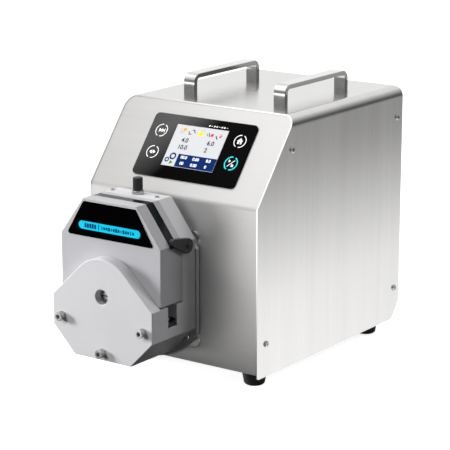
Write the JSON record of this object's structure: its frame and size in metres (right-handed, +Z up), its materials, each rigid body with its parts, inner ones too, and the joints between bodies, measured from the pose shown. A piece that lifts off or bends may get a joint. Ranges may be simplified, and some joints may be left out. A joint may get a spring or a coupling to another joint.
{
  "type": "peristaltic pump",
  "caption": "Bench peristaltic pump: brushed stainless cabinet with sloping display, carrying handles and a roller pump head whose upper jaw lifts with a side lever.",
  "frame": {"origin": "centre of the bounding box in X and Y, at the level of the feet's undersides", "axes": "+Z up; the pump head and the display face -Y; +X is the side with the cam lever"},
  "size_m": [0.234, 0.3944, 0.321],
  "materials": {
    "brushed_stainless": "brushed, satin",
    "satin_aluminium": "fine bead-blasted, satin",
    "machined_steel": "machined",
    "plated_screw": "bright zinc",
    "black_rubber": "matte",
    "black_plastic": "matte",
    "black_glass": "gloss",
    "black_gloss": "gloss",
    "cyan_print": "gloss",
    "screen": "lit display",
    "green_board": "solder mask",
    "dark_plastic": "matte",
    "white_acetal": "smooth",
    "zinc_sheet": "plated sheet",
    "motor_black": "satin paint"
  },
  "bodies": {
    "cabinet": {"housing_cover": "brushed_stainless", "front_panel": "brushed_stainless", "bottom_tray": "zinc_sheet", "rear_panel": "brushed_stainless", "cover_screws": "plated_screw", "handle_left": "brushed_stainless", "handle_right": "brushed_stainless", "handle_screws": "plated_screw", "foot_front_left": "black_rubber", "foot_front_right": "black_rubber", "foot_rear_left": "black_rubber", "foot_rear_right": "black_rubber", "foot_screws": "plated_screw", "display_glass": "black_glass", "display_screen": "screen", "display_module": "zinc_sheet", "control_board": "green_board", "board_standoffs": "plated_screw", "head_front_body": "satin_aluminium", "head_rear_body": "satin_aluminium", "adapter_plate": "satin_aluminium", "adapter_screws": "plated_screw", "bracket_bolts": "machined_steel", "head_cap_screws": "plated_screw", "shaft_bearings": "machined_steel", "jaw_guide_pins": "machined_steel", "tube_clamps": "dark_plastic", "plunger_collar": "plated_screw", "motor_bracket": "zinc_sheet", "gearbox": "machined_steel", "motor": "motor_black", "power_supply": "zinc_sheet", "motor_driver": "motor_black", "fan_frame": "black_plastic", "fan_guard": "plated_screw", "fan_screws": "plated_screw", "power_inlet": "black_plastic", "rocker_frame": "black_plastic", "signal_port": "plated_screw"},
    "rotor": {"pump_shaft": "machined_steel", "gearbox_output_shaft": "machined_steel", "rotor_discs": "machined_steel", "roller_pins": "machined_steel"},
    "roller_1": {"roller_1": "machined_steel"},
    "roller_2": {"roller_2": "machined_steel"},
    "roller_3": {"roller_3": "machined_steel"},
    "jaw": {"jaw_block": "satin_aluminium", "jaw_band_strip": "black_gloss", "occlusion_bed": "white_acetal", "label_plate": "black_gloss", "label_pill": "cyan_print", "jaw_racks": "machined_steel"},
    "cam_lever": {"cam_shaft": "machined_steel", "cam_pinions": "machined_steel", "cam_lever": "black_plastic", "lever_screw": "plated_screw"},
    "plunger": {"plunger_knob": "black_plastic", "plunger_pin": "machined_steel"},
    "fan": {"fan_rotor": "black_plastic"},
    "power_rocker": {"rocker": "black_plastic"}
  },
  "joints": [
    {"name": "rotor_spin", "type": "hinge", "parent": "cabinet", "child": "rotor", "pos_m": [-0.0315, -0.15245, 0.1067], "axis": [0, 1, 0], "continuous": true},
    {"name": "roller_1_spin", "type": "hinge", "parent": "rotor", "child": "roller_1", "pos_m": [-0.0315, -0.15245, 0.1437], "axis": [0, 1, 0], "continuous": true},
    {"name": "roller_2_spin", "type": "hinge", "parent": "rotor", "child": "roller_2", "pos_m": [-0.06354, -0.15245, 0.0882], "axis": [0, 1, 0], "continuous": true},
    {"name": "roller_3_spin", "type": "hinge", "parent": "rotor", "child": "roller_3", "pos_m": [0.00054, -0.15245, 0.0882], "axis": [0, 1, 0], "continuous": true},
    {"name": "cam_lever_hinge", "type": "hinge", "parent": "cabinet", "child": "cam_lever", "pos_m": [0.0395, -0.13095, 0.1635], "axis": [-1, 0, 0], "range_deg": [0, 110]},
    {"name": "jaw_slide", "type": "slide", "parent": "cabinet", "child": "jaw", "axis": [0, 0, 1], "range_m": [0, 0.0144]},
    {"name": "plunger_pull", "type": "slide", "parent": "cabinet", "child": "plunger", "axis": [0, 0, 1], "range_m": [0, 0.005], "stiffness_N_per_m": 500, "springref_m": -0.003},
    {"name": "power_rocker_hinge", "type": "hinge", "parent": "cabinet", "child": "power_rocker", "pos_m": [0.062, 0.18555, 0.1345], "axis": [1, 0, 0], "range_deg": [0, 18]},
    {"name": "fan_spin", "type": "hinge", "parent": "cabinet", "child": "fan", "pos_m": [-0.042, 0.18005, 0.2185], "axis": [0, 1, 0], "continuous": true}
  ],
  "couplings": [
    {"joint": "roller_1_spin", "follows": "rotor_spin", "ratio": -4.3636},
    {"joint": "roller_2_spin", "follows": "rotor_spin", "ratio": -4.3636},
    {"joint": "roller_3_spin", "follows": "rotor_spin", "ratio": -4.3636},
    {"joint": "cam_lever_hinge", "follows": "jaw_slide", "rad_per_m": 133.3}
  ]
}
